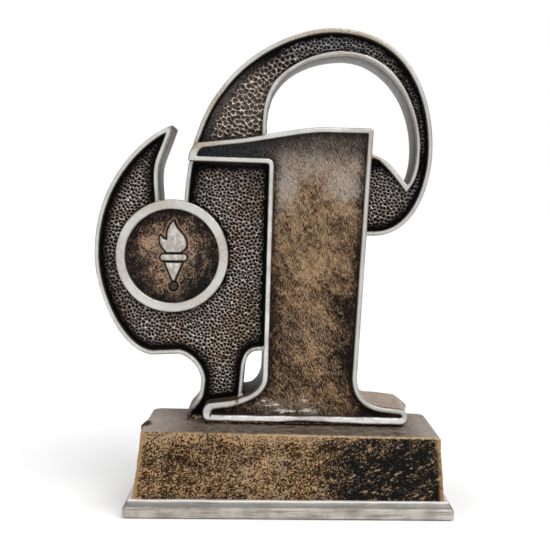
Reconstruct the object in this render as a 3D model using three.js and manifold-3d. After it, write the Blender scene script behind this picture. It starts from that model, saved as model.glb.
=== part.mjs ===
// Number-one trophy: a cast figure of a large numeral 1 in front of an open swirl, standing on a
// tapered block and a thin plinth. A roundel with a torch badge sits on the swirl's left lobe.
// Millimetres. X runs to the right, Y from the front to the back, Z up. The origin is the middle of
// the underside. Outlines lie in the X-Z plane and are extruded along Y.

import * as THREE from 'three';
import { mergeVertices } from 'three/addons/utils/BufferGeometryUtils.js';
import Module from 'manifold-3d';

const wasm = await Module();
wasm.setup();

// ---------------------------------------------------------------- driving dimensions

// Fits and curve steps
const GAP = 0.3; // clearance between neighbouring pieces
const CURVE_STEP = 2.4; // longest chord on a curve
const CURVE_STEPS_LEAST = 6;
const ROUND_STEPS = 48; // sides of the roundel
const SMALL_ROUND_STEPS = 20; // sides of fasteners and dowels

// Base: felt pad, plinth and pedestal block
const PLINTH_WIDTH = 86.9;
const PLINTH_DEPTH = 38.4;
const PLINTH_UNDERSIDE = 0.3; // the felt stands proud of the plinth by this much
const PLINTH_EDGE_TOP = 2.9; // top of the plinth's upright edge
const PLINTH_TOP = 4.7;
const PLINTH_LEDGE = 1.1; // width of the flat ledge around the block
const FELT_TOP = 1.3;
const FELT_MARGIN = 5; // border of the plinth around the felt pad
const BLOCK_WIDTH = 82.6;
const BLOCK_DEPTH = 34;
const BLOCK_TOP_WIDTH = 79.1;
const BLOCK_TOP_DEPTH = 30;
const BLOCK_TOP_SHIFT = 0.5; // the left side leans in more than the right one
const BLOCK_BLANK_TOP = 23; // height of the block before its top is planed
const BLOCK_TOP = 21.75; // height of the planed top on the centre line
const TOP_FALL = 0.76; // degrees by which the planed top falls to the right

// Layers of the figure, as places along Y
const NUMERAL_RIM_FRONT = -4.2;
const NUMERAL_PANEL = -2.4;
const SWIRL_RIM_FRONT = -0.1;
const SWIRL_FIELD = 1.8;
const FIGURE_BACK = 15.2;
const NUMERAL_RIM_WIDTH = 1.45;
const SWIRL_RIM_WIDTH = 1.3;
const INNER_RIM_WIDTH = 1.2;
const FOOT_LEFT = 22.8; // underside of the figure at its left end
const FOOT_RIGHT = 22.1; // and at its right end

// Roundel and torch badge
const ROUNDEL = new THREE.Vector2(-32.3, 67.9);
const RING_OUTER = 15.5;
const RING_INNER = 12.85;
const RING_FRONT = -2;
const RING_CHAMFER = 0.5;
const DISC_RADIUS = 12.45;
const DISC_FRONT = 1;
const BADGE_FRONT = 0.4;

// Fasteners: a bolt under each casting, and dowels in the lap of the two castings
const BOLT_PLACES = {
  left: [-19.5, 8.6],
  right: [6, 6.4],
};
const SHANK_RADIUS = 2;
const HEAD_RADIUS = 4;
const HEAD_FOOT = 1.5;
const HEAD_TOP = 3;
const WASHER_RADIUS = 4.6;
const WASHER_TOP = 3.8;
const BOLT_TIP = 29.6;
const INSERT_RADIUS = 3.2;
const INSERT_FOOT = 23.1;
const INSERT_TOP = 31;
const DOWEL_PLACES = {
  upper: [9, 85],
  lower: [1, 63],
};
const DOWEL_RADIUS = 1.8;
const DOWEL_FRONT = -0.6;
const DOWEL_BACK = 7;

// ---------------------------------------------------------------- outlines

// Points along a chain of spans: a span is one end point for a straight line, or two handles and an
// end point for a cubic curve.
function chain(start, ...spans) {
  const path = new THREE.Path().moveTo(...start);
  for (const span of spans) {
    if (span.length === 1) {
      path.lineTo(...span[0]);
    } else {
      path.bezierCurveTo(...span.flat());
    }
  }
  const points = [new THREE.Vector2(...start)];
  for (const curve of path.curves) {
    const steps = Math.max(CURVE_STEPS_LEAST, Math.ceil(curve.getLength() / CURVE_STEP));
    points.push(...curve.getPoints(curve.isLineCurve ? 1 : steps).slice(1));
  }
  return points;
}

// One closed outline from chains that follow one another, without doubled points.
function outline(...chains) {
  const points = chains.flat();
  return points.filter((point, i) => point.distanceTo(points.at(i - 1)) > 1e-6);
}

function crossing(a, b) {
  const turn = a.direction.cross(b.direction);
  if (Math.abs(turn) < 1e-9) {
    return b.from.clone();
  }
  const along = b.from.clone().sub(a.from).cross(b.direction) / turn;
  return a.from.clone().addScaledVector(a.direction, along);
}

// The outline moved to the left of its direction of travel by a distance. Edges that the move turns
// round are dropped, and their neighbours meet instead.
function offset(points, distance, closed = true) {
  const starts = closed ? points : points.slice(0, -1);
  let edges = starts.map((start, i) => {
    const direction = points[(i + 1) % points.length].clone().sub(start).normalize();
    const left = new THREE.Vector2(-direction.y, direction.x);
    return { direction, from: start.clone().addScaledVector(left, distance) };
  });
  const last = edges.at(-1);
  const end = points.at(-1).clone().addScaledVector(new THREE.Vector2(-last.direction.y, last.direction.x), distance);
  for (;;) {
    const corners = edges.map((edge, i) => {
      return i === 0 && !closed ? edge.from.clone() : crossing(edges.at(i - 1), edge);
    });
    if (!closed) {
      corners.push(end);
    }
    const kept = edges.filter((edge, i) => {
      const span = corners[(i + 1) % corners.length].clone().sub(corners[i]);
      return span.dot(edge.direction) > 0;
    });
    if (kept.length === edges.length) {
      return corners;
    }
    edges = kept;
  }
}

// The closed outline of a band of the given width on the right of an open chain.
function band(points, width) {
  return [...offset(points, -width, false), ...[...points].reverse()];
}

// The numeral, anticlockwise from the lower corner of its flag.
const NUMERAL = outline(chain(
  [-27.3, 93.8],
  [[-6.6, 93.3]],
  [[-6.1, 93.3], [-5.9, 93.1], [-5.9, 92.6]],
  [[-7, 35.6]],
  [[-7, 30.5], [-12, 28.9], [-17.4, 28.2]],
  [[-21.5, 27.7]],
  [[-24, 27.3], [-24.3, FOOT_LEFT], [-22, FOOT_LEFT]],
  [[30.6, FOOT_RIGHT]],
  [[33.4, FOOT_RIGHT], [33.4, 25.9], [30.8, 26.2]],
  [[26.6, 26.7]],
  [[22, 27.2], [18.8, 29.5], [18.9, 35.5]],
  [[22.3, 101.7]],
  [[22.4, 102.6], [21.9, 103], [21, 103]],
  [[9, 103.2]],
  [[3, 103.1], [-5, 101.2], [-13.8, 100]],
  [[-24.3, 98.9]],
  [[-26.6, 98.7], [-27.5, 96.4], [-27.7, 94.5]],
  [[-27.8, 94.1], [-27.7, 93.8], [-27.3, 93.8]],
));

// The swirl's outline, clockwise from the foot of its leg. Its stretches also carry the rims.
const LOBE = chain(
  [-27.9, FOOT_LEFT],
  [[-29.6, 25.7], [-24.3, 25.4], [-24.3, 32.8]],
  [[-24.3, 37.7], [-29, 40.6], [-30.9, 40.6]],
  [[-37.5, 40.3]],
  [[-46.5, 40.3], [-53.9, 57.3], [-53.9, 68.4]],
  [[-53.9, 90.7], [-37.8, 102], [-32.9, 103.5]],
  [[-32.3, 103.7], [-32.1, 103.7], [-32.4, 103]],
  [[-35.8, 92.5], [-37, 94.9], [-36, 83.5]],
  [[-36, 82]],
);
const SLOT_SIDE = chain(
  [-29.2, 82],
  [[-29.1, 83]],
  [[-28.8, 87.4], [-28.2, 92], [-27.4, 96.4]],
);
const CROWN = chain(
  [-27.4, 96.4],
  [[-23.6, 109.5], [-20, 112.6], [-18.9, 114.3]],
  [[-9.7, 126.4], [4.3, 130.3], [11.2, 130.3]],
  [[32.4, 130.3], [39, 112.8], [39, 97.6]],
  [[39, 88.7], [34.9, 73.9], [23, 73.9]],
  [[17, 73.9]],
);
const ARCH = chain(
  [-3, 41.9],
  [[-8.4, 41.7]],
  [[-10.9, 41.5], [-11.8, 40], [-12.2, 36.6]],
  [[-12.9, 28.6]],
  [[-13, FOOT_LEFT]],
);
// The crescent opening, clockwise from the numeral's top edge.
const OPENING = chain(
  [-6.4, 97.2],
  [[-6.5, 101.5]],
  [[-8.7, 122.2], [11.6, 123.1], [14.5, 123.1]],
  [[25, 123.1], [34.6, 112.7], [34.6, 97.6]],
  [[34.6, 91.7], [32.5, 87.8], [32.2, 88.1]],
  [[26.1, 94.8], [27.9, 94], [22.6, 96.3]],
  [[20, 97.2]],
);
// The outer border of the opening's rim, which thins at the upper right.
const OPENING_BORDER = chain(
  [-7.6, 96],
  [[-7.9, 101.5]],
  [[-8, 108.5], [-7, 112.6], [-4.5, 116.1]],
  [[-1.4, 119.9], [6, 124.2], [13.7, 124.3]],
  [[32.4, 124.3], [35.7, 103.6], [35.7, 98.4]],
  [[35.7, 89.5], [33.3, 87.5], [31.9, 85.7]],
  [[31.2, 87], [24.5, 95.8], [22.3, 95.2]],
  [[20, 96]],
);

const SWIRL = outline(LOBE, SLOT_SIDE, CROWN, ARCH).reverse();

// Badge outlines, measured from the roundel's centre.
const FLAME = chain(
  [-1.7, 0.9],
  [[-3.6, 2.3], [-4.3, 3.9], [-3.6, 5.7]],
  [[-3, 4.7], [-2.4, 4.3], [-1.8, 4.5]],
  [[-2.1, 6.6], [-1.3, 8.4], [0.2, 9.8]],
  [[0.1, 7.4], [3.9, 5.8], [3.6, 3]],
  [[3.5, 2], [2.8, 1.3], [1.7, 0.9]],
);
const HANDLE = chain(
  [-2.4, -1.9],
  [[-1.9, -3.6], [-0.9, -5], [-0.4, -6.9]],
  [[0.4, -6.9]],
  [[0.9, -5], [1.9, -3.6], [2.4, -1.9]],
);
const COLLAR_LENGTH = 7.4;
const COLLAR_HEIGHT = 1.8;
const COLLAR_CENTRE = -0.5;
const BALL_RADIUS = 1.1;
const BALL_CENTRE = -8.5;
const BADGE_SHIFT = new THREE.Vector2(0.2, 0);

// ---------------------------------------------------------------- solids

function solid(geometry) {
  geometry.deleteAttribute('normal');
  geometry.deleteAttribute('uv');
  const welded = mergeVertices(geometry, 1e-5);
  return new wasm.Manifold(new wasm.Mesh({
    numProp: 3,
    vertProperties: welded.attributes.position.array,
    triVerts: Uint32Array.from(welded.index.array),
  }));
}

// An outline in the X-Z plane, with holes, made solid from one place along Y to another.
function plate(points, front, back, ...holes) {
  const shape = new THREE.Shape(points);
  shape.holes = holes.map((hole) => new THREE.Path(hole));
  const geometry = new THREE.ExtrudeGeometry(shape, { depth: back - front, bevelEnabled: false });
  return solid(geometry.rotateX(Math.PI / 2).translate(0, back, 0));
}

// A round solid about an axis along Y, from pairs of radius and place along Y.
function turnedAlongY(profile, [x, z], steps) {
  const points = profile.map(([radius, y]) => new THREE.Vector2(radius, y));
  return solid(new THREE.LatheGeometry(points, steps).translate(x, 0, z));
}

// A round solid about an upright axis, from pairs of radius and height.
function turnedUpright(profile, [x, y]) {
  const points = profile.map(([radius, z]) => new THREE.Vector2(radius, z));
  const geometry = new THREE.LatheGeometry(points, SMALL_ROUND_STEPS);
  return solid(geometry.rotateX(Math.PI / 2).translate(x, y, 0));
}

function rod(radius, from, to) {
  return [[0, from], [radius, from], [radius, to], [0, to]];
}

function tube(outer, inner, from, to) {
  return [[inner, from], [outer, from], [outer, to], [inner, to], [inner, from]];
}

// A solid between two level rectangles.
function frustum(lower, upper) {
  const geometry = new THREE.BoxGeometry(1, 1, 1);
  const place = geometry.attributes.position;
  for (let i = 0; i < place.count; i += 1) {
    const level = place.getZ(i) < 0 ? lower : upper;
    const x = (level.x ?? 0) + place.getX(i) * level.width;
    place.setXYZ(i, x, place.getY(i) * level.depth, level.z);
  }
  return solid(geometry);
}

function withBoltHoles(body, radius, from, to) {
  return Object.values(BOLT_PLACES).reduce((rest, place) => {
    return rest.subtract(turnedUpright(rod(radius, from, to), place));
  }, body);
}

function withDowelHoles(body) {
  return Object.values(DOWEL_PLACES).reduce((rest, place) => {
    const hole = rod(DOWEL_RADIUS + GAP, DOWEL_FRONT - GAP, DOWEL_BACK + GAP);
    return rest.subtract(turnedAlongY(hole, place, SMALL_ROUND_STEPS));
  }, body);
}

// ---------------------------------------------------------------- the base

function feltPad() {
  const size = { width: PLINTH_WIDTH - 2 * FELT_MARGIN, depth: PLINTH_DEPTH - 2 * FELT_MARGIN };
  return frustum({ ...size, z: 0 }, { ...size, z: FELT_TOP });
}

function plinth() {
  const slab = { width: PLINTH_WIDTH, depth: PLINTH_DEPTH };
  const ledge = { width: BLOCK_WIDTH + 2 * PLINTH_LEDGE, depth: BLOCK_DEPTH + 2 * PLINTH_LEDGE };
  const feltPocket = {
    width: PLINTH_WIDTH - 2 * FELT_MARGIN + 2 * GAP,
    depth: PLINTH_DEPTH - 2 * FELT_MARGIN + 2 * GAP,
  };
  const body = frustum({ ...slab, z: PLINTH_UNDERSIDE }, { ...slab, z: PLINTH_EDGE_TOP })
    .add(frustum({ ...slab, z: PLINTH_EDGE_TOP }, { ...ledge, z: PLINTH_TOP }))
    .subtract(frustum({ ...feltPocket, z: -1 }, { ...feltPocket, z: FELT_TOP }));
  const bored = withBoltHoles(body, SHANK_RADIUS + GAP, 0, PLINTH_TOP + 1);
  return withBoltHoles(bored, WASHER_RADIUS + GAP, 0, WASHER_TOP);
}

function pedestalBlock() {
  const foot = { width: BLOCK_WIDTH, depth: BLOCK_DEPTH, z: PLINTH_TOP };
  const top = { width: BLOCK_TOP_WIDTH, depth: BLOCK_TOP_DEPTH, x: BLOCK_TOP_SHIFT, z: BLOCK_BLANK_TOP };
  const shavings = new THREE.BoxGeometry(120, 60, 10).translate(0, 0, 5);
  shavings.rotateY(THREE.MathUtils.degToRad(TOP_FALL)).translate(0, 0, BLOCK_TOP);
  const body = frustum(foot, top).subtract(solid(shavings));
  return withBoltHoles(body, SHANK_RADIUS + GAP, 0, BLOCK_BLANK_TOP + 1);
}

// ---------------------------------------------------------------- the figure

// What the numeral takes away from anything that meets its edge.
const NUMERAL_CUTTER = plate(offset(NUMERAL, -GAP), NUMERAL_RIM_FRONT - 1, FIGURE_BACK + 1);
const RING_CUTTER = turnedAlongY(rod(RING_OUTER + GAP, RING_FRONT - 1, SWIRL_FIELD + 1), ROUNDEL, ROUND_STEPS);

// The swirl runs on behind the numeral, where the numeral is relieved to lap over it.
function swirlPlate() {
  const body = plate(SWIRL, SWIRL_FIELD, FIGURE_BACK, OPENING);
  const pocket = turnedUpright(rod(INSERT_RADIUS + GAP, 0, INSERT_TOP + GAP), BOLT_PLACES.left);
  return withDowelHoles(body.subtract(pocket));
}

function numeralBody() {
  const lap = plate(
    offset(SWIRL, -GAP),
    SWIRL_FIELD - GAP,
    FIGURE_BACK + 1,
    offset(outline(OPENING), -GAP),
  );
  const body = plate(NUMERAL, NUMERAL_PANEL, FIGURE_BACK).subtract(lap);
  const pocket = turnedUpright(rod(INSERT_RADIUS + GAP, 0, INSERT_TOP + GAP), BOLT_PLACES.right);
  return withDowelHoles(body.subtract(pocket));
}

function numeralRim() {
  return plate(NUMERAL, NUMERAL_RIM_FRONT, NUMERAL_PANEL, offset(NUMERAL, NUMERAL_RIM_WIDTH));
}

function swirlRim(points) {
  const rim = plate(points, SWIRL_RIM_FRONT, SWIRL_FIELD);
  return rim.subtract(NUMERAL_CUTTER).subtract(RING_CUTTER);
}

// ---------------------------------------------------------------- roundel and badge

function roundelRing() {
  const [outer, inner, front] = [RING_OUTER, RING_INNER, RING_FRONT];
  const profile = [
    [inner + RING_CHAMFER, front],
    [outer - RING_CHAMFER, front],
    [outer, front + RING_CHAMFER],
    [outer, SWIRL_FIELD],
    [inner, SWIRL_FIELD],
    [inner, front + RING_CHAMFER],
    [inner + RING_CHAMFER, front],
  ];
  return turnedAlongY(profile, ROUNDEL, ROUND_STEPS);
}

function roundelDisc() {
  return turnedAlongY(rod(DISC_RADIUS, DISC_FRONT, SWIRL_FIELD), ROUNDEL, ROUND_STEPS);
}

function badgePlate(points) {
  const centre = ROUNDEL.clone().add(BADGE_SHIFT);
  return plate(outline(points.map((point) => point.clone().add(centre))), BADGE_FRONT, DISC_FRONT);
}

function torchCollar() {
  const reach = (COLLAR_LENGTH - COLLAR_HEIGHT) / 2;
  const path = new THREE.Path()
    .absarc(reach, COLLAR_CENTRE, COLLAR_HEIGHT / 2, -Math.PI / 2, Math.PI / 2)
    .absarc(-reach, COLLAR_CENTRE, COLLAR_HEIGHT / 2, Math.PI / 2, 1.5 * Math.PI);
  return badgePlate(path.getPoints(8));
}

function torchBall() {
  const place = ROUNDEL.clone().add(BADGE_SHIFT).add(new THREE.Vector2(0, BALL_CENTRE));
  return turnedAlongY(rod(BALL_RADIUS, BADGE_FRONT, DISC_FRONT), place, SMALL_ROUND_STEPS);
}

// ---------------------------------------------------------------- fasteners

function footBolt(place) {
  const profile = [[0, HEAD_FOOT], [HEAD_RADIUS, HEAD_FOOT], [HEAD_RADIUS, HEAD_TOP], [SHANK_RADIUS, HEAD_TOP],
    [SHANK_RADIUS, BOLT_TIP], [0, BOLT_TIP]];
  return turnedUpright(profile, place);
}

function footWasher(place) {
  return turnedUpright(tube(WASHER_RADIUS, SHANK_RADIUS + GAP, HEAD_TOP, WASHER_TOP), place);
}

function footInsert(place) {
  return turnedUpright(tube(INSERT_RADIUS, SHANK_RADIUS + GAP, INSERT_FOOT, INSERT_TOP), place);
}

function lapDowel(place) {
  return turnedAlongY(rod(DOWEL_RADIUS, DOWEL_FRONT, DOWEL_BACK), place, SMALL_ROUND_STEPS);
}

// ---------------------------------------------------------------- the assembly

const FINISHES = {
  pewter: { color: 0xb4b1a9, roughness: 0.45, metalness: 0.7 },
  bronze: { color: 0x6a5234, roughness: 0.5, metalness: 0.6 },
  darkBronze: { color: 0x3b332b, roughness: 0.55, metalness: 0.5 },
  greyBase: { color: 0x8d8b86, roughness: 0.6, metalness: 0.3 },
  felt: { color: 0x1c1c1e, roughness: 1, metalness: 0 },
  steel: { color: 0xa8abb0, roughness: 0.35, metalness: 1 },
  brass: { color: 0xb08d4a, roughness: 0.35, metalness: 1 },
};

const trophy = new THREE.Group();

function addPiece(name, body, finish) {
  const { vertProperties, triVerts } = body.getMesh();
  const geometry = new THREE.BufferGeometry();
  geometry.setAttribute('position', new THREE.BufferAttribute(vertProperties, 3));
  geometry.setIndex(new THREE.BufferAttribute(triVerts, 1));
  geometry.computeVertexNormals();
  const mesh = new THREE.Mesh(geometry, new THREE.MeshStandardMaterial(FINISHES[finish]));
  mesh.name = name;
  trophy.add(mesh);
}

addPiece('felt_pad', feltPad(), 'felt');
addPiece('plinth', plinth(), 'greyBase');
addPiece('pedestal_block', pedestalBlock(), 'bronze');
addPiece('swirl_plate', swirlPlate(), 'darkBronze');
addPiece('numeral_body', numeralBody(), 'bronze');
addPiece('numeral_rim', numeralRim(), 'pewter');
addPiece('lobe_rim', swirlRim(band(LOBE, SWIRL_RIM_WIDTH)), 'pewter');
addPiece('slot_rim', swirlRim(band(SLOT_SIDE, INNER_RIM_WIDTH)), 'pewter');
addPiece('crown_rim', swirlRim(band(CROWN, SWIRL_RIM_WIDTH)), 'pewter');
addPiece('opening_rim', swirlRim([...OPENING_BORDER, ...[...OPENING].reverse()]), 'pewter');
addPiece('arch_rim', swirlRim(band(ARCH, INNER_RIM_WIDTH)), 'pewter');
addPiece('roundel_ring', roundelRing(), 'pewter');
addPiece('roundel_disc', roundelDisc(), 'bronze');
addPiece('torch_flame', badgePlate(FLAME), 'pewter');
addPiece('torch_collar', torchCollar(), 'pewter');
addPiece('torch_handle', badgePlate(HANDLE), 'pewter');
addPiece('torch_ball', torchBall(), 'darkBronze');
for (const [side, place] of Object.entries(BOLT_PLACES)) {
  addPiece(`foot_bolt_${side}`, footBolt(place), 'steel');
  addPiece(`foot_washer_${side}`, footWasher(place), 'steel');
  addPiece(`foot_insert_${side}`, footInsert(place), 'brass');
}
for (const [level, place] of Object.entries(DOWEL_PLACES)) {
  addPiece(`lap_dowel_${level}`, lapDowel(place), 'steel');
}

export default trophy;
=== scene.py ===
"""Looks of the number-one trophy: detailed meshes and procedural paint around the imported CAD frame.

Outlines, layers and places are read from the frame's nodes. Shapes are worked out in millimetres and
handed to Blender in metres. X runs to the right, Y to the back, Z up.
"""

import math

import bmesh
import bpy
import numpy as np
from mathutils import Matrix, Vector, kdtree, noise
from mathutils.geometry import delaunay_2d_cdt


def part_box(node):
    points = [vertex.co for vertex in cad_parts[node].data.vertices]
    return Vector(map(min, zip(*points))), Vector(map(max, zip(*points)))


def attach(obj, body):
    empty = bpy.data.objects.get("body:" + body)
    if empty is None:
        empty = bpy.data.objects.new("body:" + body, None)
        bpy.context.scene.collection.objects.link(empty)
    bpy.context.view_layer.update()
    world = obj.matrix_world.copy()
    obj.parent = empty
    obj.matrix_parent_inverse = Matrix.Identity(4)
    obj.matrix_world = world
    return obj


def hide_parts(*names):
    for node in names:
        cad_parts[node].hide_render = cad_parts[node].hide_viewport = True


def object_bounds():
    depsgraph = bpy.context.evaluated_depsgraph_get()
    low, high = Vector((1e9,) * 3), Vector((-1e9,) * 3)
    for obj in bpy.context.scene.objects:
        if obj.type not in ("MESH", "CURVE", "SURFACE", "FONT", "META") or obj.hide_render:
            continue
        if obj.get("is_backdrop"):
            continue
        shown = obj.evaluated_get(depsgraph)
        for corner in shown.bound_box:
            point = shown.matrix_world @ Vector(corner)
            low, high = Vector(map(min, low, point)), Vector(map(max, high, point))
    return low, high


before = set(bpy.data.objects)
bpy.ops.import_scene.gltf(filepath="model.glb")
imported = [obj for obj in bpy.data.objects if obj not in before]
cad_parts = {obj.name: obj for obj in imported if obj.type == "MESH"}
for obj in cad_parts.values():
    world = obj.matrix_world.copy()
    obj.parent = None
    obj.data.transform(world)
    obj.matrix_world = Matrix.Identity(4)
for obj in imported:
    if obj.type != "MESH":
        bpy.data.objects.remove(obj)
CAD_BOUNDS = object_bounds()

MM = 0.001
RANDOM = np.random.default_rng(11)

# ---------------------------------------------------------------- driving dimensions, in mm

LEVEL_TOLERANCE = 0.008  # how far from its plane a corner of a flat face may lie
CURVE_STEP = 0.42  # chord of a smoothed outline
CORNER_TURN = math.radians(58)  # a sharper turn than this stays a corner
STRAIGHT_LENGTH = 3.0  # an edge longer than this is a true straight

# Pebbled field of the swirl
PEBBLE_PITCH = 0.97  # distance between the middles of neighbouring pits
CROWN_PITCH = 1.3  # the same at the foot of the crown, where the pits are larger
CROWN_FOOT = ((-29, 93), (2, 124))  # its lowest and highest x and z, above the numeral's flag
PEBBLE_CROWDING = 0.78  # least distance between two pits, as a share of the pitch
FIELD_STEP = 0.2  # distance between the field's points
HIDDEN_STEP = 2.2  # the same behind the roundel and the numeral
RIDGE_HEIGHT = 0.6
FIELD_BORDER = 0.75  # smooth band beside the rims
OUTER_RIM = 1.3  # how much of the swirl's edge its outer rim covers
OPENING_RIM = 0.5  # the same round its openings

# Rims
BEAD_WIDTH = 0.62  # how far from its edge a rim is rounded
BEAD_DROP = 0.5  # how far the rounding falls back
BEAD_DEPTHS = (0.07, 0.17, 0.32, 0.5, 0.66)  # distances from the edge of the rounding's rows of points
FOOT_RISE = 0.15  # how far the rim under the numeral lies above the casting's edge
FOOT_HUMP = (6, 8, 0.4)  # its highest place: x, reach and extra height
FOOT_RIM = 2.4  # the height of that rim
FOOT_LEAN = 0.22  # how steeply its face leans back
CAST_WAVER = 0.05  # unevenness of cast edges
JOIN = 0.4  # how far a rim's cut end reaches into the piece that cuts it

# Castings
EDGE_DEPTH = 0.15  # how far behind a front's edge its walls' paint begins
BACK_ROUND = 0.7  # rounding of the castings' back edges
FOOT_DRAFT = (3.0, 0.9, 0.5)  # what the foot's back gains at its end and on top, and loses in the fillet

SMALLEST_PART = 40  # area in square mm of the smallest part of the numeral that shows at the back

# Smears of paint on the numeral's panel: x, z, reach in x and reach in z
SMEARS = [(-4.0, 26.9, 5.4, 1.9), (-2.6, 25.2, 5.0, 0.5), (6.3, 25.4, 3.0, 1.3), (3.8, 27.0, 2.8, 2.3)]
SMEAR_BOX = [(-9, 24.2), (10, 24.2), (10, 29.5), (-9, 29.5)]  # outline of the place that holds them all
SMEAR_STEP = 0.24  # distance between the points there
PANEL_STEP = 0.55  # and on the rest of the panel

# Block and plinth
BLOCK_STEP = 0.34
BLOCK_HALF = (41, 17)  # half its width and depth at half height
BLOCK_FLARE = 0.12  # how far the block's sides are hollowed
BLOCK_ROUND = 0.55  # rounding of its upper edge
FLASH_LUMP = 1.0  # moulding flash left on the block's upper left edge
FLASH_PLACE = (-5.5, 21.2)  # its y and z
FLASH_REACH = (4, 1.6)
FRONT_CORNER = 0.7
BACK_CORNER = 2.6
PLINTH_CORNER = 0.7
FELT_CORNER = 1.5
GLUE_HEIGHT = 0.95
GLUE_DEPTH = 0.1  # how far the glue reaches into the block's top

# Places in the paint as seen from the front: x, z, reach in x, reach in z, and how dark a shade is
# (a negative one is lighter) or how strong another colour is
# The spots at z 25.5, beside the numeral's toes, are painted shadow under the foot's rim
PANEL_PATCHES_AND_SHADOWS = [
    (18.5, 46, 6, 24, 0.45), (14.5, 53.5, 6, 6, 1.1), (16, 39, 5.5, 6.5, 1.0), (-5, 50, 3, 30, 0.6),
    (20, 72, 3, 26, 0.4), (-17, 25.5, 7, 3, 1.2), (24, 25.5, 7, 3, 1.2), (-2, 40, 5, 8, 0.2),
    (6, 44, 8, 14, -0.25), (4, 66, 9, 9, -0.2), (4, 28, 16, 6, -0.35), (0, 55, 30, 30, -0.06),
]
BLOCK_SHADES = [(-29, 14, 10, 8, 0.25), (33, 17, 9, 6, 0.3), (-7, 11, 9, 10, -0.45)]
BADGE_SHADES = [(-38.5, 71, 4, 4, -0.35), (-25, 60, 7, 9, 0.3), (-35, 60, 6, 6, -0.1)]
# Painted highlights on the rims: the numeral's left rim and the rim along its foot
RIM_HIGHLIGHTS = [(-7, 62, 2.5, 40, 0.5), (22, 22.4, 20, 2.6, 1.5), (-10, 23, 18, 2.4, 1.2)]
TAUPE_PLACES = [
    (-24.5, 98, 8, 3.2, 1), (-20, 108, 6, 12, 1), (-11.5, 41.6, 3, 1.6, 1), (14, 128, 26, 7, 1),
    (-47, 66, 5, 11, 0.5), (-37, 82, 9, 4, 0.5), (-18.5, 70, 4, 7, 0.5), (-25, 55, 6, 4, 0.5),
]
DIRTY_PLACES = [
    (-27, 23.6, 4.5, 6, 0.9), (-33, 104.2, 1.8, 2.2, 0.9),
    (-14.6, 28.6, 1.5, 2.4, 0.9), (-8.8, 41.2, 1.2, 1.6, 0.9),
]

# Camera, solved from the perspective of the base and the roundel
CAMERA_PLACE = (-5.42, -264.2, 81.04)
CAMERA_YAW = 0.318  # degrees to the right
CAMERA_PITCH = 3.94  # degrees down
CAMERA_ROLL = 0.55  # degrees, the picture turned clockwise
FOCAL_SHARE = 957.5 / 550  # focal length as a share of the picture's width
SENSOR = 36
ROOM_LEAN = (0.2, -0.5, 0.84)  # direction the room's light mainly comes from
ROOM_LIGHT = (0.26, 0.9)  # strength of the room's light from below behind and from above in front

NO_POINTS = np.empty((0, 2))
ROUND_TURNS = np.radians([30, 60, 90])


# ---------------------------------------------------------------- outlines

def vertices_mm(node):
    """The node's vertices in mm."""
    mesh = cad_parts[node].data
    places = np.empty(len(mesh.vertices) * 3)
    mesh.vertices.foreach_get("co", places)
    return places.reshape(-1, 3) / MM


def box_mm(node):
    """Lowest and highest corner of a node in mm."""
    low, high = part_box(node)
    return np.array(low) / MM, np.array(high) / MM


def area(loop):
    """Area inside a loop, positive when it runs anticlockwise as seen from the front."""
    x, z = loop.T
    return 0.5 * float(np.sum(x * np.roll(z, -1) - np.roll(x, -1) * z))


def plane_loops(node, level):
    """Boundary loops, as x and z, of the node's faces that lie in the plane y = level, largest first."""
    keys = np.round(vertices_mm(node) * 1000).astype(int)  # thousandths of a mm
    edges = set()
    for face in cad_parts[node].data.polygons:
        ring = [tuple(keys[i]) for i in face.vertices]
        if all(abs(corner[1] / 1000 - level) < LEVEL_TOLERANCE for corner in ring):
            edges.update(zip(ring, ring[1:] + ring[:1]))
    follow = dict(edge for edge in edges if edge[::-1] not in edges)
    loops = []
    while follow:
        start, point = follow.popitem()
        loop = [start]
        while point != start:
            loop.append(point)
            point = follow.pop(point)
        loops.append(np.array(loop)[:, [0, 2]] / 1000)
    loops.sort(key=lambda loop: -abs(area(loop)))
    return [loop if (area(loop) > 0) == (i == 0) else loop[::-1] for i, loop in enumerate(loops)]


def smoothed(loop, step=CURVE_STEP):
    """The closed loop in short steps, with its curves made smooth and its corners and straights kept."""
    ahead = np.roll(loop, -1, 0) - loop
    length = np.hypot(*ahead.T)
    unit = ahead / length[:, None]
    last_unit, last_length = np.roll(unit, 1, 0), np.roll(length, 1)
    turn = np.arccos(np.clip(np.sum(unit * last_unit, 1), -1, 1))
    weight = (last_length / (length + last_length))[:, None]
    leaving = unit * weight + last_unit * (1 - weight)
    arriving = leaving.copy()
    straight, last_straight = length > STRAIGHT_LENGTH, last_length > STRAIGHT_LENGTH
    for i in range(len(loop)):
        if turn[i] > CORNER_TURN or (straight[i] and last_straight[i]):
            leaving[i], arriving[i] = unit[i], last_unit[i]
        elif straight[i]:
            leaving[i] = arriving[i] = unit[i]
        elif last_straight[i]:
            leaving[i] = arriving[i] = last_unit[i]
    points = []
    for i, start in enumerate(loop):
        following = (i + 1) % len(loop)
        end = loop[following]
        first, second = leaving[i] * length[i], arriving[following] * length[i]
        steps = max(1, math.ceil(length[i] / step))
        for t in np.arange(steps) / steps:
            bent = (t**3 - 2 * t**2 + t) * first + (t**3 - t**2) * second
            points.append(start + (3 * t**2 - 2 * t**3) * (end - start) + bent)
    return np.array(points)


def inward(loop):
    """Unit normals of a loop's points, to the left of its direction of travel."""
    ahead = np.roll(loop, -1, 0) - loop
    ahead /= np.maximum(np.hypot(*ahead.T), 1e-9)[:, None]
    along = ahead + np.roll(ahead, 1, 0)
    along /= np.maximum(np.hypot(*along.T), 1e-9)[:, None]
    return np.stack([-along[:, 1], along[:, 0]], 1)


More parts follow.
